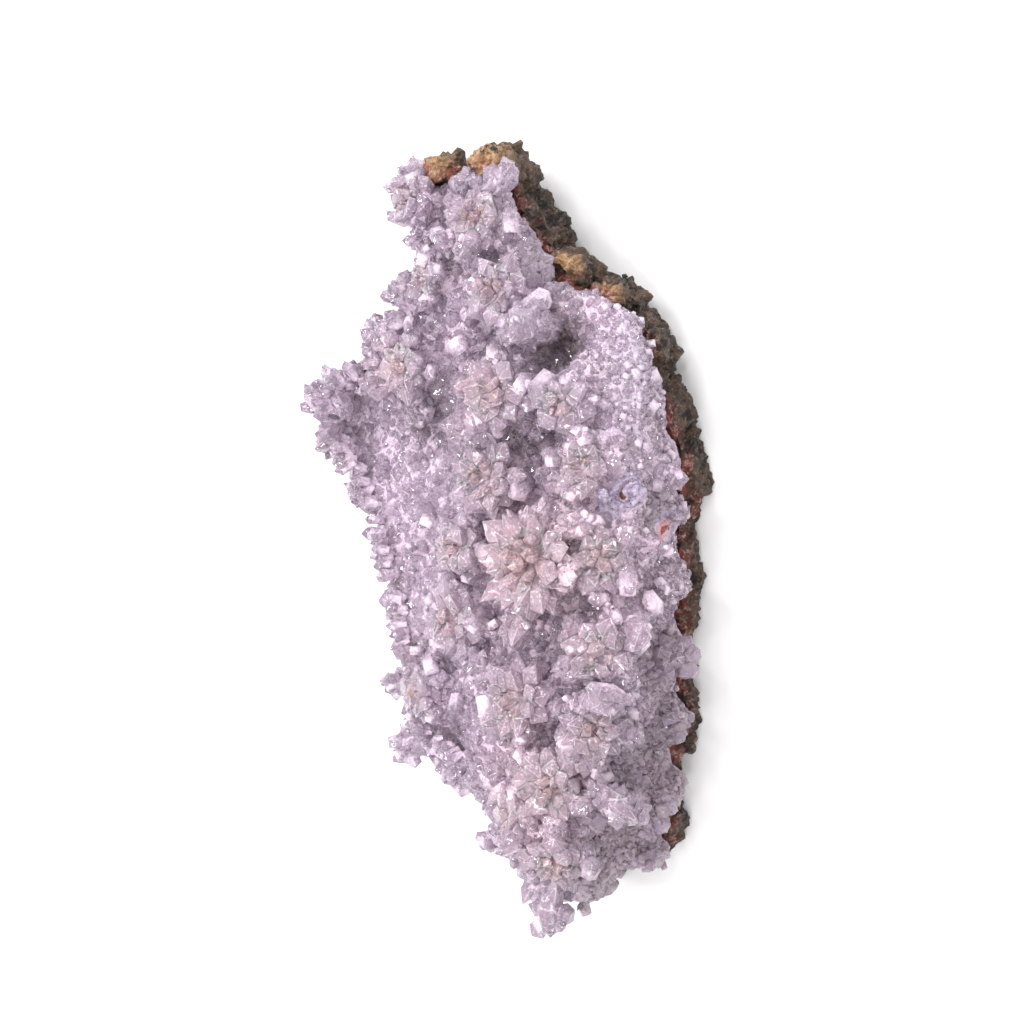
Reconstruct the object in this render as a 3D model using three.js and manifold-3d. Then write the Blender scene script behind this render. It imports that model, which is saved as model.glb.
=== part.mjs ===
// A hand specimen of pale amethyst: a crust of quartz crystals grown together into rosettes, on
// the piece of dark volcanic rock that it lined. It lies on its rock back with the crystals up.
// Millimetres, +Z up, +Y towards the ochre head of the specimen, +X towards its broken side.
// The origin is on the resting plane, under the middle of the rock.

import * as THREE from 'three';
import { mergeVertices } from 'three/addons/utils/BufferGeometryUtils.js';
import Module from 'manifold-3d';

const wasm = await Module();
wasm.setup();

// ---------------------------------------------------------------- driving dimensions

const GAP = 0.3; // between the rock and the crust on it

// Cutting blocks: wide and deep enough for the whole specimen, from below it to above it.
const BLOCK_WIDTH = 80;
const BLOCK_DEPTH = 136;
const SKY = 80;
const UNDERGROUND = -20;

// The rock: the rise and the swells of its broken back, and the height of its top at the foot
// of the specimen, how much higher it is at the head and along the head's broken side, and its
// ripples. The steps are the grids that the two surfaces are drawn on.
const BACK_STEP = 8;
const BACK_RISE = 0.8;
const BACK_SWELL = 1.7;
const ROCK_STEP = 13;
const ROCK_FOOT = 5.5;
const ROCK_HEAD_RISE = 3.5;
const ROCK_BROKEN_RISE = 5.5;
const ROCK_RIPPLE = 0.7;

// The bed of the crystals: its height along the left side, how much higher it is along the
// middle, how far it falls at the foot and at the corner of the foot and the broken side, and
// how steeply the dome under a rosette falls away.
const BED_STEP = 6;
const BED_LEFT = 8;
const BED_RISE = 12.5;
const BED_FOOT_FALL = 8;
const BED_CORNER_FALL = 6;
const DOME_FALL = 0.8;

// Plan outline of the crust's bed, x and y: the broken side from the foot up to the head, then
// the left side from the head back down to the foot.
const BROKEN_SIDE = [
  [14, -58], [20, -55], [25, -51], [28, -43], [29.5, -30], [30, -14], [30, 2], [31.5, 12],
  [28.5, 20], [26, 27], [25, 34], [21, 38], [15, 42], [10, 47], [5.5, 53], [2, 58],
];
const LEFT_SIDE = [
  [-6, 58], [-13, 57], [-18, 54], [-12, 47.5], [-15, 42], [-21, 35], [-26, 30], [-35, 27],
  [-34, 19], [-28, 8], [-23, -3], [-20, -13], [-18, -28], [-16, -35], [-7, -41], [-1, -48],
  [4, -56],
];
const BED_OUTLINE = [...BROKEN_SIDE, ...LEFT_SIDE];
const ROCK_SET_BACK_LEFT = 5; // the crystals hang over the rock's left side
const ROCK_SET_BACK_FOOT = 3;
const ROCK_SET_OUT = 0.4; // the rock stands out of the broken side

// Rock lumps: centre, then half width, half depth and half height.
const EDGE_LUMPS = [
  { at: [14.5, 41.5, 12], size: [6.5, 5.5, 7.5] },
  { at: [21.5, 37.5, 9.5], size: [6, 5, 8] },
  { at: [26, 29.5, 9], size: [4.8, 8, 8] },
  { at: [28, 20, 6], size: [4.5, 6.5, 7] },
  { at: [8.5, 47.5, 8.5], size: [5.5, 6, 6.5] },
  { at: [0.5, 58.5, 11], size: [6.5, 6.5, 8.5] },
  { at: [-10, 59, 12], size: [5.5, 4.5, 6] },
  { at: [30.5, 9, 3], size: [3, 8, 4.5] },
  { at: [29.5, -8, 2.5], size: [2.8, 10, 4] },
  { at: [29, -27, 2.5], size: [2.8, 10, 3.6] },
  { at: [25.5, -46, 3], size: [4.5, 8, 3.8] },
];
// Scoops broken out of the rock's side.
const SCOOPS = [
  { at: [19, 44, 4], size: [3.5, 3, 5] },
  { at: [33.5, -13, 1], size: [2.4, 4, 3] },
  { at: [7, 63, 6], size: [3, 3, 4] },
];

// Rosettes of crystals: centre, reach of a petal, lean of the axis from straight up, in
// degrees, and the side it leans to, in degrees from +X.
const ROSETTES = [
  { at: [-13, 53.5, 17], reach: 7.5, lean: 35, side: 150 },
  { at: [2, 50, 21], reach: 7.5, lean: 15, side: 60 },
  { at: [-10, 42, 18], reach: 7, lean: 30, side: 180 },
  { at: [8, 38, 24], reach: 7, lean: 10, side: 200 },
  { at: [-14, 27, 18], reach: 8.5, lean: 22, side: 190 },
  { at: [9, 22, 27], reach: 8.5, lean: 8, side: 250 },
  { at: [21, 20, 28], reach: 7, lean: 12, side: 300 },
  { at: [5, 9, 23], reach: 8.5, lean: 5, side: 180 },
  { at: [24, 10, 27], reach: 7, lean: 20, side: 20 },
  { at: [16, -4, 28], reach: 9, lean: 0, side: 0 },
  { at: [27, -4, 27], reach: 7.5, lean: 28, side: 10 },
  { at: [-1, -2, 21], reach: 7.5, lean: 15, side: 180 },
  { at: [-4, -14, 19], reach: 8.5, lean: 20, side: 190 },
  { at: [27, -17, 27], reach: 8, lean: 28, side: 340 },
  { at: [11, -26, 24], reach: 9, lean: 5, side: 250 },
  { at: [-12, -26, 15], reach: 7.5, lean: 28, side: 190 },
  { at: [25, -30, 25], reach: 7.5, lean: 22, side: 0 },
  { at: [18, -39, 26], reach: 8, lean: 12, side: 280 },
  { at: [8, -45, 20], reach: 7.5, lean: 38, side: 190 },
  { at: [17, -50, 22], reach: 8, lean: 38, side: 280 },
  { at: [-31, 22.5, 12], reach: 7.5, lean: 40, side: 160 },
];

// Crystals that stand out on their own: root, then the way to the tip with its length, and
// the radius at the shoulder.
const LONE_CRYSTALS = [
  { at: [14, 37, 22], towards: [0, -7, 11], radius: 3.6 },
  { at: [2, 51, 18], towards: [0, -8, 9], radius: 2.8 },
  { at: [14, -8, 23], towards: [0, -9, 9], radius: 3 },
  { at: [29, -11, 20], towards: [5, -7, 10], radius: 3.4 },
  { at: [21, -38, 22], towards: [13, -6, 5], radius: 3 },
  { at: [22, -26, 24], towards: [10, 1, 8], radius: 2.6 },
  { at: [27, 4, 20], towards: [7, 4, 6], radius: 2.8 },
  { at: [15, -51, 19], towards: [-1, -12, 2], radius: 2.8 },
  { at: [18, -51, 18], towards: [3, -10, 1], radius: 2.6 },
  { at: [12, -51, 17], towards: [-3, -8, 2], radius: 2.6 },
  { at: [-28, 23, 10], towards: [-10, 4, 3], radius: 2.6 },
];

// The two forms of a crystal, as radius and height from root to tip, in shares of its own.
const PETAL = [[0, 0], [0.42, 0], [1, 0.65], [0, 1]]; // its sides widen up to a shoulder
const POINT = [[0, 0], [1, 0], [0, 1]]; // only its tip shows

// What a rosette is made of: an open ring of petals round one steep point. Length is in shares
// of the reach, width in shares of the length.
const ROSETTE_ROOT = 0.35; // depth of the common root, in shares of the reach
const ROSETTE_RINGS = [
  { form: PETAL, count: 5, lean: 58, length: 1.25, width: 0.245 },
  { form: POINT, count: 1, lean: 8, length: 1.1, width: 0.33 },
];

// Crystals between the rosettes: the part of the bed they are on, their spacing and size, how
// deep they are rooted and how near a rosette they come, in shares of its reach.
const FIELD_X = [-36, 36];
const FIELD_Y = [-58, 64];
const FIELD_STEP = 10.5;
const FIELD_LENGTH = 6;
const FIELD_RADIUS = 3;
const FIELD_ROOT = 2;
const FIELD_CLEARANCE = 0.9;
const EDGE_REACH = 6; // crystals flare outward this near the bed's edge
const EDGE_LEAN = 62; // the most that they flare, in degrees

// Crystals of the sides: spacing, and for each row its form, its height from the rock (0) to
// the bed's top (1), its lean from straight up in degrees, its length and its widest radius.
const SIDE_STEP = 11;
const LEFT_ROWS = [{ form: PETAL, height: 0.5, lean: 75, length: 6.5, radius: 2.3 }];
const BROKEN_TO = 20; // the crystals of the broken side stop there, below the bare head
const BROKEN_ROWS = [
  { form: POINT, height: 0.15, lean: 25, length: 12, radius: 4 },
  { form: POINT, height: 0.6, lean: 55, length: 8, radius: 3.6 },
];

// ---------------------------------------------------------------- helpers

// A repeatable stream of numbers from 0 to 1, by a linear congruential generator.
function numbers(seed) {
  const [factor, step, range] = [1664525, 1013904223, 2 ** 32];
  let state = seed;
  return () => {
    state = (Math.imul(state, factor) + step) >>> 0;
    return state / range;
  };
}

const between = (random, low, high) => low + (high - low) * random();
const smooth = THREE.MathUtils.smoothstep;

// Keeps only the positions, with shared corners merged and the poles' empty faces left out.
function welded(geometry) {
  geometry.deleteAttribute('normal');
  geometry.deleteAttribute('uv');
  const merged = mergeVertices(geometry);
  const corners = merged.index.array;
  const kept = [];
  for (let i = 0; i < corners.length; i += 3) {
    const [a, b, c] = [corners[i], corners[i + 1], corners[i + 2]];
    if (a !== b && b !== c && c !== a) {
      kept.push(a, b, c);
    }
  }
  merged.setIndex(kept);
  return merged;
}

function toSolid(geometry) {
  return new wasm.Manifold(new wasm.Mesh({
    numProp: 3,
    vertProperties: new Float32Array(geometry.attributes.position.array),
    triVerts: new Uint32Array(geometry.index.array),
  }));
}

function toGeometry(solid) {
  const { vertProperties, triVerts } = solid.getMesh();
  const geometry = new THREE.BufferGeometry();
  geometry.setAttribute('position', new THREE.BufferAttribute(vertProperties, 3));
  geometry.setIndex(new THREE.BufferAttribute(triVerts, 1));
  return geometry;
}

function moveCorners(geometry, move) {
  const position = geometry.attributes.position;
  const corner = new THREE.Vector3();
  for (let i = 0; i < position.count; i += 1) {
    move(corner.fromBufferAttribute(position, i));
    position.setXYZ(i, corner.x, corner.y, corner.z);
  }
  return geometry;
}

const joined = (solids) => wasm.Manifold.union(solids);

// The main body, without the specks and sealed pores that the cuts leave.
const mainBody = (solid) => solid.decompose().sort((a, b) => b.volume() - a.volume())[0];

// ---------------------------------------------------------------- the two meeting surfaces

// Height of the rock's broken back, in swells that dip under the resting plane.
function rockBack(x, y) {
  const swell = Math.cos(0.17 * x + 0.02 * y) * Math.cos(0.14 * y - 0.03 * x);
  return BACK_RISE - BACK_SWELL * swell;
}

// Height of the rock under the crust: a wedge, thick along the broken side of the head.
function rockTop(x, y) {
  const head = smooth(y, 8, 30);
  const broken = smooth(x, -25, 12);
  const ripple = ROCK_RIPPLE * Math.sin(0.31 * x + 1) * Math.sin(0.27 * y);
  return ROCK_FOOT + head * (ROCK_HEAD_RISE + ROCK_BROKEN_RISE * broken) + ripple;
}

// Height of the bed that the crystals stand on: high along the middle, falling to the left
// side and to the foot, with a dome under each rosette.
function bedTop(x, y) {
  const across = smooth(x, -34, 14);
  const foot = smooth(-y, 34, 48);
  const corner = smooth(x, 17, 30) * smooth(-y, 30, 42);
  const plain = BED_LEFT + BED_RISE * across - BED_FOOT_FALL * foot - BED_CORNER_FALL * corner;
  const domes = ROSETTES.map(({ at, reach }) => {
    const away = Math.hypot(at[0] - x, at[1] - y) / reach;
    return at[2] - DOME_FALL * reach * away * away;
  });
  return Math.max(plain, ...domes);
}

// Everything over a surface: a block whose underside follows it.
function spaceOver(height, lift, step) {
  const box = new THREE.BoxGeometry(
    BLOCK_WIDTH, BLOCK_DEPTH, SKY, BLOCK_WIDTH / step, BLOCK_DEPTH / step, 1);
  const shaped = moveCorners(welded(box), (corner) => {
    corner.z = corner.z > 0 ? SKY : height(corner.x, corner.y) + lift;
  });
  return toSolid(shaped);
}

// ---------------------------------------------------------------- building blocks

function slab(outline, foot, top) {
  const shape = new THREE.Shape(outline.map(([x, y]) => new THREE.Vector2(x, y)));
  const geometry = new THREE.ExtrudeGeometry(shape, { depth: top - foot, bevelEnabled: false });
  return toSolid(welded(geometry.translate(0, 0, foot)));
}

// A rough boulder: a ball of flat facets with its corners pushed in and out.
function lump({ at, size }, random) {
  const ball = welded(new THREE.IcosahedronGeometry(1, 0));
  moveCorners(ball, (corner) => {
    corner.multiplyScalar(between(random, 0.82, 1.08));
    corner.multiply(new THREE.Vector3(...size));
    corner.add(new THREE.Vector3(...at));
  });
  return toSolid(ball);
}

// A quartz crystal from its root to its tip, in six flat sides and six uneven tip faces. The
// sides stay flat, because each shoulder corner slides along its own edge.
function crystal(form, root, way, length, radius, random) {
  const points = form.map(([r, h]) => new THREE.Vector2(r * radius, h * length));
  const geometry = welded(new THREE.LatheGeometry(points, 6));
  const flat = between(random, 0.75, 1);
  const up = new THREE.Vector3(0, 1, 0);
  const spin = new THREE.Quaternion().setFromAxisAngle(up, between(random, 0, Math.PI));
  const stand = new THREE.Quaternion().setFromUnitVectors(up, way);
  const tip = new THREE.Vector3(between(random, -0.25, 0.25), 0, between(random, -0.25, 0.25));
  const rootRadius = form[1][0] * radius;
  moveCorners(geometry, (corner) => {
    const height = corner.y / length;
    if (height > 0.99) {
      corner.addScaledVector(tip, radius);
    } else if (height > 0.01) {
      const slide = between(random, 0.85, 1.12);
      const wider = (rootRadius + (radius - rootRadius) * slide) / radius;
      corner.multiply(new THREE.Vector3(wider, slide, wider));
    }
    corner.x *= flat;
    corner.applyQuaternion(spin).applyQuaternion(stand).add(root);
  });
  return toSolid(geometry);
}

// A direction that leans from straight up towards a side, both in degrees.
function leaning(lean, side) {
  const tilt = THREE.MathUtils.degToRad(lean);
  const turn = THREE.MathUtils.degToRad(side);
  return new THREE.Vector3(
    Math.sin(tilt) * Math.cos(turn), Math.sin(tilt) * Math.sin(turn), Math.cos(tilt));
}

// A rosette, all of it from one root inside its dome.
function rosette({ at, reach, lean, side }, random) {
  const axis = leaning(lean, side);
  const centre = new THREE.Vector3(...at).addScaledVector(axis, -ROSETTE_ROOT * reach);
  const stand = new THREE.Quaternion().setFromUnitVectors(new THREE.Vector3(0, 0, 1), axis);
  const parts = [];
  for (const ring of ROSETTE_RINGS) {
    const start = between(random, 0, 360);
    for (let i = 0; i < ring.count; i += 1) {
      const turn = start + (360 * i) / ring.count + between(random, -9, 9);
      const way = leaning(ring.lean + between(random, -9, 9), turn).applyQuaternion(stand);
      const length = ring.length * reach * between(random, 0.85, 1.15);
      const radius = ring.width * length * between(random, 0.9, 1.1);
      parts.push(crystal(ring.form, centre, way, length, radius, random));
    }
  }
  return parts;
}

// ---------------------------------------------------------------- crystals between rosettes

function inside(x, y, outline) {
  let within = false;
  for (let i = 0, j = outline.length - 1; i < outline.length; j = i, i += 1) {
    const [[ax, ay], [bx, by]] = [outline[i], outline[j]];
    if (ay > y !== by > y && x < ax + ((bx - ax) * (y - ay)) / (by - ay)) {
      within = !within;
    }
  }
  return within;
}

const clearOfRosettes = (x, y) => ROSETTES.every(
  ({ at, reach }) => Math.hypot(at[0] - x, at[1] - y) > FIELD_CLEARANCE * reach);

// Outward lean of a crystal: near upright inside the outline, flaring out at its edge.
function outward(x, y, random) {
  const pull = new THREE.Vector2();
  let open = 0;
  for (let turn = 0; turn < 360; turn += 45) {
    const angle = THREE.MathUtils.degToRad(turn);
    const way = new THREE.Vector2(Math.cos(angle), Math.sin(angle));
    if (!inside(x + way.x * EDGE_REACH, y + way.y * EDGE_REACH, BED_OUTLINE)) {
      pull.add(way);
      open += 1;
    }
  }
  const lean = (open > 0 ? EDGE_LEAN * Math.min(pull.length(), 1) : 0) + between(random, 0, 18);
  const side = THREE.MathUtils.radToDeg(pull.angle()) + between(random, -40, 40);
  return leaning(lean, open > 0 ? side : between(random, 0, 360));
}

function fieldCrystals(random) {
  const parts = [];
  for (let y = FIELD_Y[0]; y < FIELD_Y[1]; y += FIELD_STEP) {
    for (let x = FIELD_X[0]; x < FIELD_X[1]; x += FIELD_STEP) {
      const px = x + between(random, -0.4, 0.4) * FIELD_STEP;
      const py = y + between(random, -0.4, 0.4) * FIELD_STEP;
      const length = FIELD_LENGTH * between(random, 0.8, 1.3);
      const radius = FIELD_RADIUS * between(random, 0.8, 1.25);
      const way = outward(px, py, random);
      if (inside(px, py, BED_OUTLINE) && clearOfRosettes(px, py)) {
        const root = new THREE.Vector3(px, py, bedTop(px, py) - FIELD_ROOT);
        parts.push(crystal(POINT, root, way, length, radius, random));
      }
    }
  }
  return parts;
}

// Crystals of one side of the outline, in rows, that lean out over it.
function sideCrystals(side, rows, random) {
  const path = new THREE.Path(side.map(([x, y]) => new THREE.Vector2(x, y)));
  const count = Math.round(path.getLength() / SIDE_STEP);
  const parts = [];
  rows.forEach((row, level) => {
    for (let i = 0; i < count; i += 1) {
      const along = (i + 0.25 + 0.5 * (level % 2)) / count;
      const { x, y } = path.getPointAt(along);
      const tangent = path.getTangentAt(along);
      const facing = THREE.MathUtils.radToDeg(tangent.angle()) - 90 + between(random, -25, 25);
      const way = leaning(row.lean + between(random, -12, 12), facing);
      const foot = rockTop(x, y) + 1;
      const height = foot + (bedTop(x, y) - 1 - foot) * row.height;
      const length = row.length * between(random, 0.8, 1.25);
      const root = new THREE.Vector3(x, y, height).addScaledVector(way, -0.2 * length);
      const radius = row.radius * between(random, 0.85, 1.2);
      parts.push(crystal(row.form, root, way, length, radius, random));
    }
  });
  return parts;
}

// ---------------------------------------------------------------- the two pieces

// The rock before its back is cut flat. The clearance widens it, to cut the crust clear of it.
function rockBulk(clearance) {
  const random = numbers(11);
  const outline = BED_OUTLINE.map(([x, y]) => [
    x < 0 ? x + ROCK_SET_BACK_LEFT - clearance : x + ROCK_SET_OUT + clearance,
    y < -34 ? y + ROCK_SET_BACK_FOOT - clearance : y,
  ]);
  const widened = ({ at, size }) => ({ at, size: size.map((half) => half + clearance) });
  const inner = BED_OUTLINE.map(([x, y]) => [
    x - Math.sign(x) * clearance,
    y - Math.sign(y) * clearance,
  ]);
  const core = slab(outline, UNDERGROUND, SKY)
    .subtract(spaceOver(rockTop, clearance, ROCK_STEP))
    .intersect(spaceOver(rockBack, 0, BACK_STEP));
  const crustSide = slab(inner, 0, SKY).intersect(spaceOver(rockTop, clearance, ROCK_STEP));
  const lumps = EDGE_LUMPS.map((entry) => lump(widened(entry), random));
  return joined([core, ...lumps]).subtract(crustSide);
}

function hostRock() {
  const random = numbers(12);
  const scoops = SCOOPS.map((entry) => lump(entry, random));
  const ground = new THREE.BoxGeometry(BLOCK_WIDTH, BLOCK_DEPTH, -UNDERGROUND);
  ground.translate(0, 0, UNDERGROUND / 2);
  return rockBulk(0).subtract(joined(scoops)).subtract(toSolid(welded(ground)));
}

function crystalCrust() {
  const random = numbers(7);
  const bed = slab(BED_OUTLINE, 0, SKY)
    .subtract(spaceOver(bedTop, 0, BED_STEP))
    .intersect(spaceOver(rockTop, GAP, ROCK_STEP));
  const grown = [
    ...ROSETTES.flatMap((entry) => rosette(entry, random)),
    ...LONE_CRYSTALS.map(({ at, towards, radius }) => {
      const way = new THREE.Vector3(...towards);
      const root = new THREE.Vector3(...at);
      return crystal(PETAL, root, way.clone().normalize(), way.length(), radius, random);
    }),
    ...fieldCrystals(random),
    ...sideCrystals(LEFT_SIDE.slice(1), LEFT_ROWS, random),
    ...sideCrystals(BROKEN_SIDE.filter(([, y]) => y < BROKEN_TO), BROKEN_ROWS, random),
  ];
  return joined([bed, ...grown]).subtract(rockBulk(GAP));
}

function named(name, solid, finish) {
  const geometry = toGeometry(toSolid(toGeometry(mainBody(solid))));
  geometry.computeVertexNormals();
  const mesh = new THREE.Mesh(geometry, new THREE.MeshStandardMaterial(finish));
  mesh.name = name;
  return mesh;
}

const specimen = new THREE.Group();
specimen.add(
  named('host_rock', hostRock(), { color: '#57493b', roughness: 0.9, metalness: 0 }),
  named('crystal_crust', crystalCrust(), { color: '#c9b2c4', roughness: 0.2, metalness: 0 }),
);

export default specimen;
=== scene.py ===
# %% [markdown]
# # A pale amethyst on its rock
# The object is a hand specimen: a crust of quartz crystals that lined a hollow in dark volcanic
# rock, broken out with a strip of that rock still on its back. Its solids come from a CAD model
# that is packed as a fixed frame. This lesson dresses them: rough rock, a milky bed of quartz, and
# some thousands of small clear crystals, many of them in rosettes.

import bmesh
import bpy
import itertools
import math
import numpy as np
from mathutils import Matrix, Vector
from mathutils.bvhtree import BVHTree


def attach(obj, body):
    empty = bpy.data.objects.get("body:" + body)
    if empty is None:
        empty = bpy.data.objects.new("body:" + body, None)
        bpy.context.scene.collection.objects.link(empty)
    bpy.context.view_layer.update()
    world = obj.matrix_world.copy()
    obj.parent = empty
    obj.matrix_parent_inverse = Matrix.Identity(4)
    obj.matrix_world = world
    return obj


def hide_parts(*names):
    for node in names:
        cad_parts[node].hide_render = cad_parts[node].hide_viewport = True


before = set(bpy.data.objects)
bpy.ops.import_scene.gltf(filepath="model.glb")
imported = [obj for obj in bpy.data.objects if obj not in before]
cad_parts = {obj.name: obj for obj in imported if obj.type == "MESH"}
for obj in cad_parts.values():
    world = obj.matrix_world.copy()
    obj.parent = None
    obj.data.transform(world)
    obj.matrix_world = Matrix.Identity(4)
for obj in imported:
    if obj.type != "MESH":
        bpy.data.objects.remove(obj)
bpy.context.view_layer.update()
MM = 0.001  # the frame is in metres, and the sizes below are in millimetres

# %% [markdown]
# ## The camera
# A camera is set by where it looks, from how far, and how wide. A long lens from half a metre away
# keeps the crystals free of stretching. It looks down on the specimen from the broken side, thirty
# degrees off straight down, with the head of the specimen up in the picture.

# %% Camera
LOOK_AT = Vector((5.2, 3.5, 16.3)) * MM
CAMERA_SIDE = math.radians(30)  # from straight up towards +X
CAMERA_AWAY = 480 * MM
VIEW_WIDTH = 163.84 * MM
SENSOR_WIDTH = 36

bpy.ops.object.camera_add()
camera = bpy.context.active_object
camera.name = "camera"
look_from = Vector((math.sin(CAMERA_SIDE), 0, math.cos(CAMERA_SIDE)))
camera.location = LOOK_AT + CAMERA_AWAY * look_from
camera.rotation_euler = (0, CAMERA_SIDE, 0)
camera.data.sensor_width = SENSOR_WIDTH
camera.data.lens = SENSOR_WIDTH * CAMERA_AWAY / VIEW_WIDTH
camera.data.clip_start = 10 * MM
bpy.context.scene.camera = camera
print("camera lens, mm:", round(camera.data.lens, 1))

# %% [markdown]
# ## Floor and light
# Clear crystals look like what is around them, so the light matters as much as the material. A
# large soft panel behind the head gives the broad shine and lets the shadows fall towards the
# foot, and two weaker ones fill from the left and from the foot. A ring of small panels overhead
# puts sharp sparks on single facets. Its panels stand at two distances, so that neighbouring
# facets catch different ones. The floor is pale and plain.

# %% Floor and studio light
FLOOR_SIZE = 4.0

bpy.ops.mesh.primitive_plane_add(size=FLOOR_SIZE, location=(0, 0, 0))
floor = bpy.context.active_object
floor.name = "studio_floor"


def panel(name, place, size, watts):
    """Adds a square light panel that faces the specimen."""
    bpy.ops.object.light_add(type="AREA", location=Vector(place) * MM)
    light = bpy.context.active_object
    light.name = name
    light.data.shape = "SQUARE"
    light.data.size = size * MM
    light.data.energy = watts
    light.rotation_euler = (LOOK_AT - light.location).to_track_quat("-Z", "Y").to_euler()


# Place, size in millimetres, and watts.
panel("key_panel", (-130, 380, 430), 340, 1.2)
panel("left_panel", (-420, 60, 300), 200, 0.3)
panel("fill_panel", (200, -320, 420), 280, 0.4)
SPARK_STEP = 24  # degrees from one to the next
SPARK_START = 15
SPARK_AWAY = (340, 240)
SPARK_HEIGHT = 480
SPARK_SIZE = 42
SPARK_WATTS = 0.2
for turn in range(0, 360, SPARK_STEP):
    angle = math.radians(turn + SPARK_START)
    away = SPARK_AWAY[turn // SPARK_STEP % 2]
    around = (away * math.cos(angle), away * math.sin(angle), SPARK_HEIGHT)
    panel(f"spark_panel_{turn}", around, SPARK_SIZE, SPARK_WATTS)

world = bpy.data.worlds.new("studio")
bpy.context.scene.world = world
world.use_nodes = True
background = world.node_tree.nodes["Background"]
background.inputs["Color"].default_value = (1.0, 0.98, 0.99, 1)
background.inputs["Strength"].default_value = 0.8
bpy.context.scene.view_settings.view_transform = "Standard"
print("lights:", len(bpy.data.lights))

# %% [markdown]
# ## Arithmetic on sockets
# A material is a graph of nodes, and a long graph is hard to read. Here a small class wraps a
# socket, so that a mask is written as a formula and each operator adds the Math node it needs.

# %% Sockets that can be used in formulas
class Wire:
    """An output socket of a material, with arithmetic."""

    def __init__(self, tree, socket):
        self.tree = tree
        self.socket = socket

    def math(self, operation, *values):
        """Any operation of the Math node on these values."""
        values = dict(enumerate(values))
        return add_node(self.tree, "ShaderNodeMath", {"operation": operation}, values)[0]

    def vector_math(self, operation, *others):
        """Any operation of the Vector Math node. Its outputs are a vector and a number."""
        values = dict(enumerate((self, *others)))
        return add_node(self.tree, "ShaderNodeVectorMath", {"operation": operation}, values)

    def __add__(self, other):
        return self.math("ADD", self, other)

    def __sub__(self, other):
        return self.math("SUBTRACT", self, other)

    def __rsub__(self, other):
        return self.math("SUBTRACT", other, self)

    def __mul__(self, other):
        return self.math("MULTIPLY", self, other)

    def clamped(self):
        return self.math("MINIMUM", self.math("MAXIMUM", self, 0.0), 1.0)


def add_node(tree, kind, settings, values):
    """Adds a node, sets it, fills its sockets, and returns its outputs as wires."""
    node = tree.nodes.new(kind)
    for name, setting in settings.items():
        setattr(node, name, setting)
    for name, value in values.items():
        if isinstance(value, Wire):
            tree.links.new(value.socket, node.inputs[name])
        else:
            node.inputs[name].default_value = value
    return [Wire(tree, socket) for socket in node.outputs]

# %% Nodes that are used often
def new_material(name):
    """An empty material, and the tree to build it in."""
    material = bpy.data.materials.new(name)
    material.use_nodes = True
    material.node_tree.nodes.clear()
    return material, material.node_tree


def place_in(tree):
    """Where a point is on the specimen, in metres: all finished pieces sit at the origin."""
    return add_node(tree, "ShaderNodeTexCoord", {}, {})[3]


def attribute(tree, name):
    """A number that the mesh stores at its corners: 0 to 1."""
    return add_node(tree, "ShaderNodeAttribute", {"attribute_name": name}, {})[2]


def noise(place, scale, detail, roughness=0.5):
    """Soft noise, 0 to 1, with its blobs 1/scale metres across."""
    values = {"Vector": place, "Scale": scale, "Detail": detail, "Roughness": roughness}
    return add_node(place.tree, "ShaderNodeTexNoise", {}, values)[0]


def ramp(value, low, high):
    """0 below low, 1 above high, and smooth between."""
    settings = {"interpolation_type": "SMOOTHSTEP"}
    return add_node(value.tree, "ShaderNodeMapRange", settings, {0: value, 1: low, 2: high})[0]


def blend(tree, factor, one, other):
    one, other = ((*colour, 1) if isinstance(colour, tuple) else colour for colour in (one, other))
    return add_node(tree, "ShaderNodeMix", {"data_type": "RGBA"}, {0: factor, 6: one, 7: other})[2]


def painted(tree, colour, *layers):
    """Blends layers over a colour, one after the other. Each is a share and a colour."""
    for share, layer in layers:
        colour = blend(tree, share, colour, layer)
    return colour


def bump(height, distance, strength, **more):
    """A normal that follows a height. Another normal to start from can be given with it."""
    values = {"Height": height, "Distance": distance, "Strength": strength, **more}
    return add_node(height.tree, "ShaderNodeBump", {}, values)[0]


def finish_material(piece, material, surface, **more):
    """Ends a material with this surface, and gives it to the piece."""
    tree = material.node_tree
    add_node(tree, "ShaderNodeOutputMaterial", {}, {"Surface": surface, **more})
    piece.data.materials.append(material)
    print(piece.name, "is of", material.name, "with", len(tree.nodes), "nodes")


floor_material, tree = new_material("pale_floor")
plain = add_node(tree, "ShaderNodeBsdfPrincipled", {}, {
    "Base Color": (0.93, 0.93, 0.93, 1), "Roughness": 0.9, "Specular IOR Level": 0.1})[0]
finish_material(floor, floor_material, plain)

# %% [markdown]
# ## Where things are on the specimen
# The rosettes, the single crystals and the surface between rock and crust are the same named
# values as in the CAD model, so that detailed crystals grow where the plain solids are.

# %% Places and surfaces, in millimetres
# Rosettes: centre x, y, z, reach, lean from straight up and the side it leans to, in degrees.
ROSETTES = [
    (-13, 53.5, 17, 7.5, 35, 150), (2, 50, 21, 7.5, 15, 60), (-10, 42, 18, 7, 30, 180),
    (8, 38, 24, 7, 10, 200), (-14, 27, 18, 8.5, 22, 190), (9, 22, 27, 8.5, 8, 250),
    (21, 20, 28, 7, 12, 300), (5, 9, 23, 8.5, 5, 180), (24, 10, 27, 7, 20, 20),
    (16, -4, 28, 9, 0, 0), (27, -4, 27, 7.5, 28, 10), (-1, -2, 21, 7.5, 15, 180),
    (-4, -14, 19, 8.5, 20, 190), (27, -17, 27, 8, 28, 340), (11, -26, 24, 9, 5, 250),
    (-12, -26, 15, 7.5, 28, 190), (25, -30, 25, 7.5, 22, 0), (18, -39, 26, 8, 12, 280),
    (8, -45, 20, 7.5, 38, 190), (17, -50, 22, 8, 38, 280), (-31, 22.5, 12, 7.5, 40, 160),
]
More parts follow.
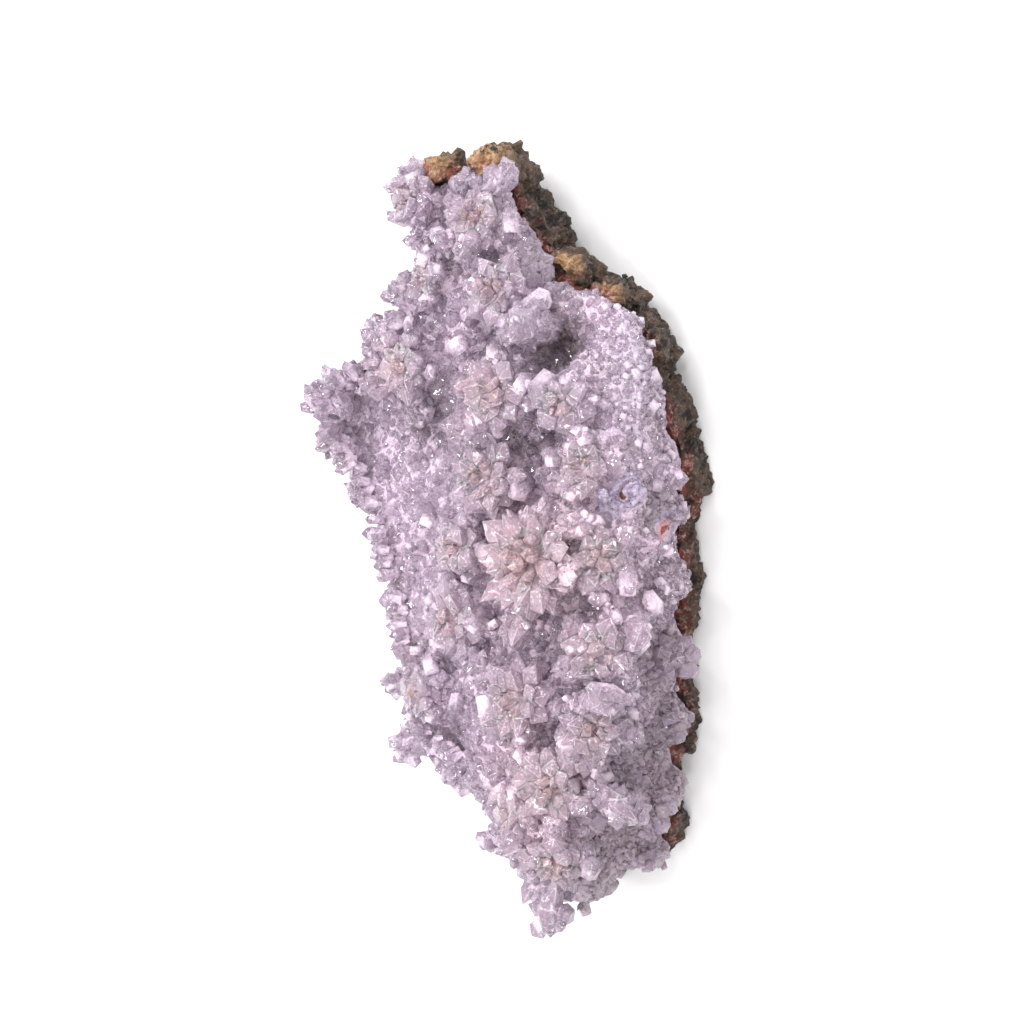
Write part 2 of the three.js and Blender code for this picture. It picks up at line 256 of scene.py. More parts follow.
# Crystals that stand out on their own: root, way to the tip, and the radius at the shoulder.
LONE_CRYSTALS = [
    ((14, 37, 22), (0, -7, 11), 3.6), ((2, 51, 18), (0, -8, 9), 2.8),
    ((14, -8, 23), (0, -9, 9), 3), ((29, -11, 20), (5, -7, 10), 3.4),
    ((21, -38, 22), (13, -6, 5), 3), ((22, -26, 24), (10, 1, 8), 2.6),
    ((27, 4, 20), (7, 4, 6), 2.8), ((15, -51, 19), (-1, -12, 2), 2.8),
    ((18, -51, 18), (3, -10, 1), 2.6), ((12, -51, 17), (-3, -8, 2), 2.6),
    ((-28, 23, 10), (-10, 4, 3), 2.6),
]


def smooth(value, low, high):
    """0 below low, 1 above high, and smooth between, for numbers and arrays."""
    share = np.clip((np.asarray(value, float) - low) / (high - low), 0, 1)
    return share * share * (3 - 2 * share)


def rock_top(x, y):
    """Height of the rock under the crust."""
    ripple = 0.7 * np.sin(0.31 * x + 1) * np.sin(0.27 * y)
    return 5.5 + smooth(y, 8, 30) * (3.5 + 5.5 * smooth(x, -25, 12)) + ripple


def numbers(seed):
    """The CAD model's repeatable stream of numbers from 0 to 1."""
    state = seed
    while True:
        state = (state * 1664525 + 1013904223) % 2**32
        yield state / 2**32


def between(stream, low, high):
    return low + (high - low) * next(stream)


def leaning(lean, side):
    """The direction that leans from straight up towards a side, both in degrees."""
    tilt, turn = math.radians(lean), math.radians(side)
    out = math.sin(tilt)
    return Vector((out * math.cos(turn), out * math.sin(turn), math.cos(tilt)))


print("rosettes:", len(ROSETTES), "lone crystals:", len(LONE_CRYSTALS))

# %% [markdown]
# ## Forms of a crystal
# Quartz grows as a six-sided column with a six-sided point, and three faces of the point are often
# larger than the three between them. Two forms are modelled by hand from a six-sided cylinder: a
# slender one for the petals, and a stout one for the small crystals. Each face of a petal is inset
# and lifted a little, because the bright outline of a real crystal is the light on its worn edges,
# and the rim that the inset leaves is such an edge. The forms are used thousands of times, so they
# have only a few dozen faces.

# %% Model the crystal forms
CRYSTAL_RADIUS = 0.35  # for a length of 1
SHOULDER_DROP = 0.55  # of the point's height, at every second corner
RIM_LIFT = 0.3  # of the rim's width


def keep_number(mesh, name, values):
    """Stores one number for each corner of the mesh, for its material to read."""
    layer = mesh.attributes.new(name, "FLOAT", "POINT")
    layer.data.foreach_set("value", np.asarray(values, np.float32))


def crystal_form(name, root_share, shoulder, rim):
    """Models a crystal of length 1 along +Z, by hand. Every second corner of its shoulder is
    lower, so that three faces of its point are larger than the other three."""
    bpy.ops.mesh.primitive_cylinder_add(
        vertices=6, radius=CRYSTAL_RADIUS, depth=shoulder, end_fill_type="NGON",
        location=(0, 0, shoulder / 2))
    form = bpy.context.active_object
    form.name = name
    bpy.ops.object.transform_apply(location=True)
    bpy.ops.object.mode_set(mode="EDIT")
    mesh = bmesh.from_edit_mesh(form.data)
    bpy.ops.mesh.select_all(action="DESELECT")
    bpy.ops.mesh.select_mode(type="FACE")
    for face in mesh.faces:
        face.select_set(face.normal.z > 0.9)
    bpy.ops.mesh.extrude_region_move(TRANSFORM_OT_translate={"value": (0, 0, 1 - shoulder)})
    bpy.ops.mesh.merge(type="CENTER")
    bpy.ops.mesh.select_mode(type="VERT")
    mesh = bmesh.from_edit_mesh(form.data)
    for corner in mesh.verts:
        corner.select_set(corner.co.z < 0.001)
    bpy.ops.transform.resize(value=(root_share, root_share, 1))
    for corner in mesh.verts:
        turn = math.degrees(math.atan2(corner.co.y, corner.co.x))
        corner.select_set(abs(corner.co.z - shoulder) < 0.001 and abs((turn + 30) % 120) < 1)
    bpy.ops.transform.translate(value=(0, 0, SHOULDER_DROP * (shoulder - 1)))
    bpy.ops.mesh.select_mode(type="FACE")
    mesh = bmesh.from_edit_mesh(form.data)
    for face in mesh.faces:
        face.select_set(face.normal.z > -0.9)
    if rim:
        bpy.ops.mesh.inset(thickness=rim, depth=RIM_LIFT * rim, use_individual=True)
    bpy.ops.object.mode_set(mode="OBJECT")
    on_rim = [0.0 if corner.select else 1.0 for corner in form.data.vertices]
    keep_number(form.data, "edge", on_rim)
    print(name, "faces:", len(form.data.polygons), "corners on its rims:", int(sum(on_rim)))
    return form


petal_form = crystal_form("petal_form", 0.6, 0.74, 0.018)
point_form = crystal_form("point_form", 0.85, 0.70, 0.0)

# %% [markdown]
# ## Many crystals from one form
# A crystal differs from its neighbour in size, turn and flatness, in how far its point is off the
# middle and in how high each corner of its shoulder sits. All of that is worked out at once for
# all crystals, on arrays of their corners, and the result is one joined mesh. It keeps three
# numbers for the materials: how near the tip a corner is, if it is on a worn edge, where a material
# paints a highlight, and a chance that a whole crystal shares.

# %% Grow crystals from a form
SHOULDER_SLIDE = (-0.14, 0.1)  # of the shoulder's height, for each corner
POINT_SHIFT = 0.22  # of the radius, off the middle


def across_ways(ways):
    """A direction across each way."""
    helper = np.where(np.abs(ways[:, 2:3]) < 0.9, [[0.0, 0, 1]], [[1.0, 0, 0]])
    across = np.cross(helper, ways)
    return across / np.linalg.norm(across, axis=1, keepdims=True)


def grow(name, form, rows, random, flat, turned):
    """Copies the form to each row's root, along its way, with its length and radius, and joins the
    copies. The broad side lies along the row's fifth value, give or take what turned says."""
    roots, ways, lengths, radii, broad = rows
    corners = np.array([corner.co for corner in form.data.vertices])
    corners[:, :2] /= CRYSTAL_RADIUS
    edge = np.array([corner.value for corner in form.data.attributes["edge"].data])
    faces = [list(face.vertices) for face in form.data.polygons]
    count = len(roots)
    height = corners[:, 2]
    distance = np.hypot(corners[:, 0], corners[:, 1])
    sector = (np.arctan2(corners[:, 1], corners[:, 0]) // (math.pi / 3)).astype(int) % 6
    shoulder = height[distance > 0.98].mean()
    pointed = np.clip((height - shoulder) / (1 - shoulder), 0, 1)
    at_shoulder = (np.abs(height - shoulder) < 0.2) & (distance > 0.6)
    slide = random.uniform(*SHOULDER_SLIDE, (count, 6))[:, sector] * at_shoulder
    local = np.repeat(corners[None], count, axis=0)
    local[:, :, 2] += slide * shoulder
    shift = random.uniform(-POINT_SHIFT, POINT_SHIFT, (count, 1, 2))
    local[:, :, :2] += shift * pointed[None, :, None]
    local[:, :, 1] *= random.uniform(*flat, (count, 1))
    spin = random.normal(0, turned, (count, 1))
    x = (local[:, :, 0] * np.cos(spin) - local[:, :, 1] * np.sin(spin)) * radii[:, None]
    y = (local[:, :, 0] * np.sin(spin) + local[:, :, 1] * np.cos(spin)) * radii[:, None]
    z = local[:, :, 2] * lengths[:, None]
    beside = np.cross(ways, broad)
    placed = (
        roots[:, None] + x[:, :, None] * broad[:, None] + y[:, :, None] * beside[:, None]
        + z[:, :, None] * ways[:, None]
    )
    starts = np.arange(count) * len(corners)
    mesh = bpy.data.meshes.new(name)
    joined = [[corner + start for corner in face] for start in starts for face in faces]
    mesh.from_pydata(placed.reshape(-1, 3) * MM, [], joined)
    keep_number(mesh, "tipward", np.tile(height, count))
    keep_number(mesh, "edge", np.tile(edge, count))
    keep_number(mesh, "chance", np.repeat(random.random(count), len(corners)))
    mesh.shade_smooth()
    piece = bpy.data.objects.new(name, mesh)
    bpy.context.collection.objects.link(piece)
    print(name, "crystals:", count, "faces:", len(mesh.polygons))
    return piece


def columns(rows):
    """Rows of root, way, length, radius and broad side as arrays."""
    return [np.array([row[k] for row in rows], float) for k in range(5)]

# %% [markdown]
# ## The milky bed
# The crystals stand on a bed of milky quartz that follows them like dough. It could be sculpted,
# but the CAD crust already has its form. A copy of that solid is merged, remeshed in small cubes
# and smoothed, which melts its plain crystals into soft swells that the clear ones then grow over.

# %% Work on a surface
def apply_modifier(piece, kind, **settings):
    modifier = piece.modifiers.new(kind.lower(), kind)
    for name, value in settings.items():
        setattr(modifier, name, value)
    bpy.context.view_layer.objects.active = piece
    bpy.ops.object.modifier_apply(modifier=modifier.name)


def corners_of(piece):
    """The corners of a piece, in millimetres."""
    corners = np.empty(len(piece.data.vertices) * 3, np.float32)
    piece.data.vertices.foreach_get("co", corners)
    return corners.reshape(-1, 3) / MM


def place_corners(piece, corners):
    """Moves the corners of a piece to these places."""
    piece.data.vertices.foreach_set("co", (corners * MM).astype(np.float32).ravel())
    piece.data.update()


def apart(points, place):
    """How far each point is from a place."""
    return np.linalg.norm(points - np.array(place), axis=1)


def push_corners(piece, pushes):
    """Pushes a surface at each place, softly towards the edge of the push."""
    corners = corners_of(piece)
    for centre, reach, push in pushes:
        corners += np.outer(1 - smooth(apart(corners, centre), 0.15 * reach, 1.3 * reach), push)
    place_corners(piece, corners)


def melted_copy(node, name, cell, rounds, pushes):
    """A free copy of a CAD node: merged, remeshed in small cubes, smoothed and pushed."""
    bpy.ops.object.select_all(action="DESELECT")
    copy = bpy.data.objects.new(name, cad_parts[node].data.copy())
    bpy.context.collection.objects.link(copy)
    copy.data.materials.clear()
    bpy.context.view_layer.objects.active = copy
    copy.select_set(True)
    bpy.ops.object.mode_set(mode="EDIT")
    bpy.ops.mesh.select_all(action="SELECT")
    bpy.ops.mesh.remove_doubles(threshold=0.001 * MM)
    bpy.ops.object.mode_set(mode="OBJECT")
    apply_modifier(copy, "REMESH", mode="VOXEL", voxel_size=cell * MM)
    apply_modifier(copy, "SMOOTH", factor=0.5, iterations=rounds)
    push_corners(copy, pushes)
    return copy


def roughen(piece, name, size, strength, middle, depth=2, kind="SOFT_NOISE"):
    """Pushes a surface in and out by noise, with lumps of that size and, if it is hard, creases."""
    texture = bpy.data.textures.new(name, "CLOUDS")
    texture.noise_scale = size * MM
    texture.noise_depth = depth
    texture.noise_type = kind
    apply_modifier(piece, "DISPLACE", texture=texture, strength=strength * MM, mid_level=middle)

# %% Model the milky bed
BED_CELL = 0.65
BED_MELT = 24  # rounds of smoothing

# Where the bed is pushed: centre, reach, and the push at the middle. That makes the cave, the
# hollows below the ledges and some notches. The heart of each rosette is a hollow too.
HEART_RISE = 0.3  # of a rosette's reach, from its centre
HEART_PUSH = -0.16
PUSHES = [
    ((14.5, 30, 25), 5, (0, 0, -9)), ((18, 31.5, 23), 3.5, (0, 0, -4)),
    ((-12, 17.5, 17), 7, (0, 0, -6)), ((13, 15, 26), 6, (0, 0, -6)), ((21, -37, 24), 5, (0, 0, -6)),
    ((12, -16.5, 25), 6, (0, 0, -6)), ((1, 33, 20), 5, (0, 0, -5)), ((-8, -34, 14), 6, (0, 0, -4)),
    ((27, 28, 14), 12, (4.5, 0, 0.5)), ((-17, 46, 14), 8, (5, 0, -3)),
    ((24, -59, 15), 7, (-3, 3, -2)), ((-33, 29, 12), 7, (0, -5, 0)),
    ((19, 43, 16), 8, (-5, 0, -1.5)),
]
for x, y, z, reach, lean, side in ROSETTES:
    axis = leaning(lean, side)
    PUSHES.append((Vector((x, y, z)) + HEART_RISE * reach * axis, reach, HEART_PUSH * reach * axis))

bed = melted_copy("crystal_crust", "milky_bed", BED_CELL, BED_MELT, PUSHES)
roughen(bed, "bed lumps", 3.0, 1.5, 0.6)
roughen(bed, "bed grains", 1.1, 1.0, 0.6)
print("bed faces:", len(bed.data.polygons))

# %% [markdown]
# ## The rock
# The rock is volcanic, broken, rough at every size. A copy of its plain solid is merged and
# remeshed, and large and small noise push its surface in and out. What would reach below the table
# is laid flat on it, so that the rock rests as its solid does.

# %% Model the rock
ROCK_CELL = 0.55
ROCK_MELT = 4
ROCK_PUSHES = [
    ((15, 48, 8), 9, (-2.5, 0, 0)), ((30, 41, 8), 9, (-3.5, 0, 0)),
    ((36, 21, 5), 6, (-2, 0, 0)), ((24, -56, 6), 8, (-2, 3, 0)),
]
rock = melted_copy("host_rock", "volcanic_rock", ROCK_CELL, ROCK_MELT, ROCK_PUSHES)
roughen(rock, "rock lumps", 4.0, 2.6, 0.5, depth=1)
roughen(rock, "rock breaks", 1.9, 2.2, 0.35, kind="HARD_NOISE")
corners = corners_of(rock)
corners[:, 2] = np.maximum(corners[:, 2], 0)
place_corners(rock, corners)
print("rock faces:", len(rock.data.polygons))


def away_from(other, points):
    """How far points are from the surface of another piece, in millimetres."""
    tree = BVHTree.FromObject(other, bpy.context.evaluated_depsgraph_get())
    return np.array([tree.find_nearest(Vector(point) * MM)[3] for point in points.tolist()]) / MM

# %% [markdown]
# ## Petals of the rosettes
# A rosette is a flower of crystals that lean out from one root. Each has two rings of petals, a
# low one and a steeper one inside it, around a heart of short crystals on a low dome. The petals
# could be placed one by one, but a ring with a little chance in its turns, leans and lengths looks
# as grown, and one rule serves all the flowers.

# %% Find where the flowers stand
# The radius of each rosette's flower. It is less than the reach in the CAD model, where five plain
# crystals stand for the flower and the bed around it.
FLOWERS = [5.6, 5.6, 5.0, 6.2, 5.8, 6.4, 4.6, 6.8, 4.5, 9.2, 5.2,
           5.0, 6.4, 5.4, 6.6, 5.0, 5.4, 6.0, 5.6, 5.6, 5.0]

# Two agate eyes lie bare on the broken side, and no petal hangs over them.
EYE_LINES = [(29.6, 6.1, 25.2), (30.2, 0.7, 11.8)]
EYE_CLEARANCE = 3.8
# Notches of the outline, where nothing grows.
OPEN_AIR = [
    ((17, -57.5, 9), 4.5), ((13.5, -60.5, 6), 4.8), ((-23.5, -34, 8), 4.5), ((-17.5, 47.5, 17), 5),
    ((-33, 29, 12), 5.5), ((22, -61, 15), 5)]


def on_bed(point, way):
    """Where a line through the point meets the bed, seen against the way."""
    start = (Vector(point) + 12 * way) * MM
    return bed_tree.ray_cast(start, -way)[0] / MM


bed_tree = BVHTree.FromObject(bed, bpy.context.evaluated_depsgraph_get())
EYES = [on_bed(point, look_from) for point in EYE_LINES]
print("agate eyes, mm:", [[round(value, 1) for value in eye] for eye in EYES])


def in_the_way(root, tip):
    """True if a crystal would hide an eye or fill a notch."""
    if any((tip - Vector(place)).length < reach for place, reach in OPEN_AIR):
        return True
    for share in (0.4, 0.7, 1.0):
        for eye in EYES:
            offset = root.lerp(tip, share) - eye
            height = offset.dot(look_from)
            if height > -3 and (offset - height * look_from).length < EYE_CLEARANCE:
                return True
    return False


flowers = []  # where each rosette's axis meets the bed, the axis, and the flower's radius
for (x, y, z, reach, lean, side), radius in zip(ROSETTES, FLOWERS):
    axis = leaning(lean, side)
    flowers.append((on_bed((x, y, z), axis), axis, radius))
print("flowers:", len(flowers))

# %% Grow the rosettes
ROOT_DEPTH = 0.42  # of a flower's radius, below its middle
LIFT = 1.3  # of its middle over the bed
# How far out a ring of petals reaches, how far it leans, and how broad its petals are.
PETAL_RINGS = [
    {"reach": 1.05, "lean": 72, "breadth": 4.2},
    {"reach": 0.82, "lean": 55, "breadth": 3.8},
]
PETALS_TOUCH = 0.85  # of a ring's reach, from its middle
PETAL_TURNS, PETAL_LEANS = (-9, 9), (-10, 8)  # degrees, give or take
PETAL_LENGTHS, PETAL_BREADTHS = (0.85, 1.15), (0.8, 1.15)
PETAL_FLATNESS = (0.6, 0.9)
# The heart of a flower is a low dome of crystals that stand side by side.
HEART_REACH = 0.58  # of the flower's radius
HEART_DOME = 0.16
HEART_DRAWS = 60
HEART_LENGTH = 3.4
HEART_RADIUS = (1.0, 1.8)
HEART_ROOM = 0.75  # nearest neighbours, in shares of their added radii
HEART_RISE_OVER_BED = 0.8
HEART_SPREAD = 0.7  # how far a crystal at the dome's edge leans out
HEART_JITTER = 0.16


def rosette_crystals():
    """Root, way, length, radius and broad side of each petal."""
    stream = numbers(21)
    petals = []
    for middle, axis, radius in flowers:
        root = middle + (LIFT - ROOT_DEPTH * radius) * axis
        stand = Vector((0, 0, 1)).rotation_difference(axis)
        for ring in PETAL_RINGS:
            count = round(2 * math.pi * PETALS_TOUCH * ring["reach"] * radius / ring["breadth"])
            start = between(stream, 0, 360)
            for i in range(count):
                turn = start + 360 * i / count + between(stream, *PETAL_TURNS)
                way = stand @ leaning(ring["lean"] + between(stream, *PETAL_LEANS), turn)
                slope = math.sin(math.radians(ring["lean"]))
                length = ring["reach"] * radius / slope * between(stream, *PETAL_LENGTHS)
                breadth = ring["breadth"] * between(stream, *PETAL_BREADTHS)
                if not in_the_way(root, root + length * way):
                    petals.append((root, way, length, breadth / 2, axis.cross(way).normalized()))
    return petals


def with_room(points, radii, room):
    """Indexes of the points that keep clear of those before them."""
    cell = 2 * room * radii.max()
    taken = {}
    kept = []
    for i, (point, radius) in enumerate(zip(points, radii)):
        home = tuple((point // cell).astype(int))
        near = itertools.product(*((step - 1, step, step + 1) for step in home))
        others = [j for key in near for j in taken.get(key, ())]
        if all(
                np.sum((points[j] - point) ** 2) > (room * (radii[j] + radius)) ** 2
                for j in others):
            taken.setdefault(home, []).append(i)
            kept.append(i)
    return kept


def heart_crystals(random):
    """Rows for the dome of crystals in the middle of each flower."""
    rows = []
    for middle, axis, radius in flowers:
        across = axis.orthogonal().normalized()
        beside = axis.cross(across)
        out = np.sqrt(random.random(HEART_DRAWS)) * HEART_REACH * radius
        turn = random.random(HEART_DRAWS) * 2 * math.pi
        share = out / (HEART_REACH * radius)
        rise = LIFT + HEART_RISE_OVER_BED + HEART_DOME * radius * (1 - share**2)
        offsets = np.outer(out * np.cos(turn), across) + np.outer(out * np.sin(turn), beside)
        tips = np.array(middle) + offsets + np.outer(rise, axis)
        radii = random.uniform(*HEART_RADIUS, HEART_DRAWS)
        for i in with_room(tips, radii, HEART_ROOM):
            jitter = Vector(random.normal(0, HEART_JITTER, 3))
            way = (axis + HEART_SPREAD * Vector(offsets[i]) / radius + jitter).normalized()
            root = Vector(tips[i]) - HEART_LENGTH * way
            broad = way.orthogonal().normalized()
            if not in_the_way(root, Vector(tips[i])):
                rows.append((root, way, HEART_LENGTH, float(radii[i]), broad))
    return rows


found = rosette_crystals()
for at, towards, radius in LONE_CRYSTALS:
    root, way = Vector(at), Vector(towards)
    if not in_the_way(root, root + way):
        broad = way.orthogonal().normalized()
        found.append((root, way.normalized(), way.length, radius, broad))
random = np.random.default_rng(3)
rows = columns(found + heart_crystals(random))
petals = grow("rosette_crystals", petal_form, rows, random, PETAL_FLATNESS, turned=0.25)

# %% [markdown]
# ## The small rosettes
# Many crystals between the large rosettes stand in small ones, a few millimetres across. Points
# are drawn at random over the bed and kept where there is room, and each gets two rings of crystals
# that lean out around the surface's own normal. None grow on the broken side, where the crust has
# only sugary grains.

# %% Draw places on the bed
RIGHT_OF = 3  # where the crust ends at its rock in a clean rim
GRAIN_CLEARANCE = 2.2  # from the rock
BACK_NORMAL = -0.35
WHITE_SECTION = [((30, 26, 17), 11), ((27, 37, 13), 8)]
BROKEN_NORMAL = 0.45  # the broken side of the crust faces +X
BROKEN_FROM = 18


def scattered(piece, count, random):
    """Random points on a piece, with its smooth normals there."""
    mesh = piece.data
    mesh.calc_loop_triangles()
    triangles = np.array([t.vertices for t in mesh.loop_triangles])
    corners = corners_of(piece)
    normals = np.array([corner.normal for corner in mesh.vertices])
    a, b, c = (corners[triangles[:, k]] for k in range(3))
    area = np.linalg.norm(np.cross(b - a, c - a), axis=1) / 2
    picked = random.choice(len(triangles), count, p=area / area.sum())
    u, v = random.random((2, count, 1))
    u, v = np.where(u + v > 1, 1 - u, u), np.where(u + v > 1, 1 - v, v)
    points = a[picked] + u * (b - a)[picked] + v * (c - a)[picked]
    return points, normals[triangles[picked]].mean(1)


def broken_places(points, normals):
    """True on the broken side, where the quartz is sugary and has no whole crystals."""
    broken = (normals[:, 0] > BROKEN_NORMAL) & (points[:, 0] > BROKEN_FROM)
    for centre, reach in WHITE_SECTION:
        broken |= apart(points, centre) < reach
    return broken


def bare_places(points, normals, rosette_share):
    """True where no crystal grows: on the back, beside the rock, at an eye, in a rosette."""
    x, y, z = points.T
    bare = (normals[:, 2] < BACK_NORMAL) | (z - rock_top(x, y) < -1)
    bare |= (x > RIGHT_OF) & (away_from(rock, points) < GRAIN_CLEARANCE)
    for eye in EYES:
        bare |= apart(points, eye) < 1.1 * EYE_CLEARANCE
    for middle, axis, radius in flowers:
        bare |= apart(points, middle) < rosette_share * radius
    for centre, reach in OPEN_AIR:
        bare |= apart(points, centre) < reach
    return bare

# %% Grow the small rosettes over the bed
TUFT_RINGS = [
    {"count": 7, "lean": 62, "length": 1.1, "width": 0.34},
    {"count": 4, "lean": 32, "length": 0.95, "width": 0.36},
]
TUFT_REACH = (2.6, 5.0)
TUFT_DEPTH = 0.6  # of its reach, below the bed
TUFT_ROOM = 0.8
TUFT_DRAWS = 9000
TUFT_JITTER = 12  # degrees
TUFT_LEAN = 0.3
TUFT_FLATNESS = (0.6, 0.9)
ROSETTE_CLEARANCE = 1.2  # of a flower's radius

random = np.random.default_rng(8)
points, normals = scattered(bed, TUFT_DRAWS, random)
open_places = ~(bare_places(points, normals, ROSETTE_CLEARANCE) | broken_places(points, normals))
points, normals = points[open_places], normals[open_places]
reaches = random.uniform(*TUFT_REACH, len(points))
kept = with_room(points, reaches, TUFT_ROOM)
tufts = [(points[i], reaches[i]) for i in kept]
stream = numbers(52)
rows = []
for i in kept:
    lean = leaning(between(stream, 0, 80), between(stream, 0, 360))
    axis = (Vector(normals[i]) + TUFT_LEAN * lean).normalized()
    root = Vector(points[i]) - TUFT_DEPTH * float(reaches[i]) * axis
    stand = Vector((0, 0, 1)).rotation_difference(axis)
    for ring in TUFT_RINGS:
        start = between(stream, 0, 360)
        for k in range(ring["count"]):
            turn = start + 360 * k / ring["count"] + between(stream, -TUFT_JITTER, TUFT_JITTER)
            way = stand @ leaning(ring["lean"] + between(stream, -TUFT_JITTER, TUFT_JITTER), turn)
            length = ring["length"] * float(reaches[i]) * between(stream, 0.8, 1.15)
            broad = axis.cross(way).normalized()
            if not in_the_way(root, root + length * way):
                rows.append((root, way, length, ring["width"] * length, broad))
tuft = grow("small_rosettes", petal_form, columns(rows), random, TUFT_FLATNESS, turned=0.3)
print("small rosettes:", len(kept))

# %% [markdown]
# ## The fringe
# Along the left side the crust overhangs its rock, and the crystals of its edge give the specimen
# its toothed outline. They are placed along a line of points round that side, at random heights,
# and lean out more the lower they grow.

# %% Grow the fringe of the left side
LEFT_SIDE = [
    (-6, 58), (-13, 57), (-18, 54), (-12, 47.5), (-15, 42), (-21, 35), (-26, 30), (-35, 27),
    (-35, 19), (-31, 9), (-26, -2), (-22, -13), (-18.5, -28), (-16, -35), (-7, -41), (-1, -48),
    (4, -56)]
FRINGE_STEP = 0.42
FRINGE_INSET = 3.6
FRINGE_HEIGHT = (1, 8)  # over the rock
FRINGE_LENGTH = (2.2, 4.2)
FRINGE_RADIUS = (0.26, 0.36)  # of its length
FRINGE_LEAN = 100  # degrees, at the rock
FRINGE_LESS = 8  # degrees, for each millimetre up
FRINGE_FLATNESS = (0.6, 1)


def fringe_crystals():
    """Crystals at random places along the left side, each leaning outward."""
    stream = numbers(33)
    rows = []
    for (x0, y0), (x1, y1) in zip(LEFT_SIDE, LEFT_SIDE[1:]):
        reach = math.hypot(x1 - x0, y1 - y0)
        out = math.degrees(math.atan2(y1 - y0, x1 - x0)) - 90
        for _ in range(round(reach / FRINGE_STEP)):
            part = next(stream)
            x, y = x0 + (x1 - x0) * part, y0 + (y1 - y0) * part
            height = between(stream, *FRINGE_HEIGHT)
            inset = (FRINGE_INSET + 0.15 * height) * leaning(90, out)
            root = Vector((x, y, rock_top(x, y) + height)) - inset
            lean = FRINGE_LEAN - FRINGE_LESS * height + between(stream, -28, 28)
            way = leaning(lean, out + between(stream, -50, 50))
            length = between(stream, *FRINGE_LENGTH)
            broad = Vector((0, 0, 1)).cross(way).normalized()
            radius = length * between(stream, *FRINGE_RADIUS)
            if not in_the_way(root, root + length * way):
                rows.append((root, way, length, radius, broad))
    return rows


rows = columns(fringe_crystals())
fringe = grow("fringe_crystals", petal_form, rows, random, FRINGE_FLATNESS, turned=0.5)

# %% [markdown]
# ## The small crystals
# Between the rosettes small crystals stand on the bed side by side, about two and a half
# millimetres across. Points are drawn at random and kept where there is room, and each crystal
# grows along the surface's own normal. On the broken side the same form makes the sugary grains:
# half the size, and leaning all ways.

# %% Grow the small crystals over the bed
SMALL_RADIUS = 1.25
CANDIDATES = 80000
ROOM = 0.64  # nearest neighbours, in shares of their added radii
SUNK = 0.66  # of its length, below the bed
SIZE_SPREAD = 0.3
LENGTHS = (2.0, 3.0)  # of its radius
SMALL_FLATNESS = (0.7, 1)
FLOWER_SHARE = 0.9  # of a flower's radius, where no small crystals grow
CLEAR_OF_TUFT = 0.6
GRAIN_SHARE = 0.55  # the size of a grain on the broken side, in shares of a small crystal
JITTER, GRAIN_JITTER = 0.3, 0.7


def nearness(corners, spots):
    """1 at the middle of a spot, 0 from its reach on."""
    found = np.zeros(len(corners))
    for centre, reach in spots:
        found = np.maximum(found, 1 - smooth(apart(corners, centre), 0, reach))
    return found


random = np.random.default_rng(5)
points, normals = scattered(bed, CANDIDATES, random)
bare = bare_places(points, normals, FLOWER_SHARE)
for centre, reach in tufts:
    bare |= apart(points, centre) < CLEAR_OF_TUFT * reach
points, normals = points[~bare], normals[~bare]
broken = broken_places(points, normals)
radii = SMALL_RADIUS * np.where(broken, GRAIN_SHARE, 1) * np.exp(
    random.normal(0, SIZE_SPREAD, len(points)))
kept = with_room(points, radii, ROOM)
points, normals, radii, broken = points[kept], normals[kept], radii[kept], broken[kept]
ways = normals + random.normal(0, 1, points.shape) * np.where(broken, GRAIN_JITTER, JITTER)[:, None]
ways /= np.linalg.norm(ways, axis=1, keepdims=True)
lengths = radii * random.uniform(*LENGTHS, len(radii))
roots = points - ways * (SUNK * lengths)[:, None]
rows = (roots, ways, lengths, radii, across_ways(ways))
small = grow("small_crystals", point_form, rows, random, SMALL_FLATNESS, turned=3)

# %% [markdown]
# ## Numbers for the colours
# Some colours follow the form: brown iron specks sit in the hearts of the rosettes, and the quartz
# is pinker in the middle, whiter at the head of the broken side, and greyer at its foot, where
# painted shade darkens it further. Painted shadow darkens the cave and the quartz under the
# ledges, and painted shade the hollows. Each corner of the mesh stores such numbers, and a material
# can read them. A hollow is where the crust around stands higher, which a map of its mean heights,
# seen in plan, tells for all corners at once.

# %% Store places for the colours
# Painted shadow darkens the quartz in the cave, and more weakly in the spots under the ledges.
CAVE = [((15.5, 29.5, 17), 7)]
# The broken side is greyer quartz at its foot and head, and painted shade darkens it further.
GREY_AND_SHADED_SIDE = [
    ((32, 3, 15), 6), ((33, -20, 13), 11), ((33, -42, 10), 26), ((29, -54, 10), 24),
    ((14, 44, 17), 8)]
UNDER_LEDGES = [
    ((-12.5, 19.6, 12.6), 8), ((-4, 18, 15), 6), ((8.6, 16, 21), 6.5), ((15, 15.5, 22.5), 6.5),
    ((21, 15, 23.5), 5), ((30, -37, 16), 7), ((20, -53, 13), 7), ((25, -46, 15), 6)]
LEDGE_SHARE = 0.38  # how much of the cave's painted shadow they have
HOLLOW_CELL = 1.5
HOLLOW_REACH = 3  # cells to each side
HOLLOW_DEPTH = (0.5, 5)
SHADE_SIDE = 2.5  # the hollow lies under the ledge that is this far towards the head
PLAN_HALF = 60  # cells
HEART_SHARE = 0.8  # of a flower's radius
PINK_HEART = [((17, -5, 32), 28), ((13, -40, 24), 20), ((-18, 28, 20), 9), ((4, 22, 26), 10)]


def height_map(corners):
    """The mean height of the crust around each cell of a plan."""
    plan = np.floor(corners[:, :2] / HOLLOW_CELL).astype(int) + PLAN_HALF
    total, count = np.zeros((2, 2 * PLAN_HALF, 2 * PLAN_HALF))
    np.add.at(total, tuple(plan.T), corners[:, 2])
    np.add.at(count, tuple(plan.T), 1)
    steps = range(-HOLLOW_REACH, HOLLOW_REACH + 1)
    near = [(i, j) for i in steps for j in steps]
    total, count = (sum(np.roll(grid, step, (0, 1)) for step in near) for grid in (total, count))
    return total / np.maximum(count, 1)


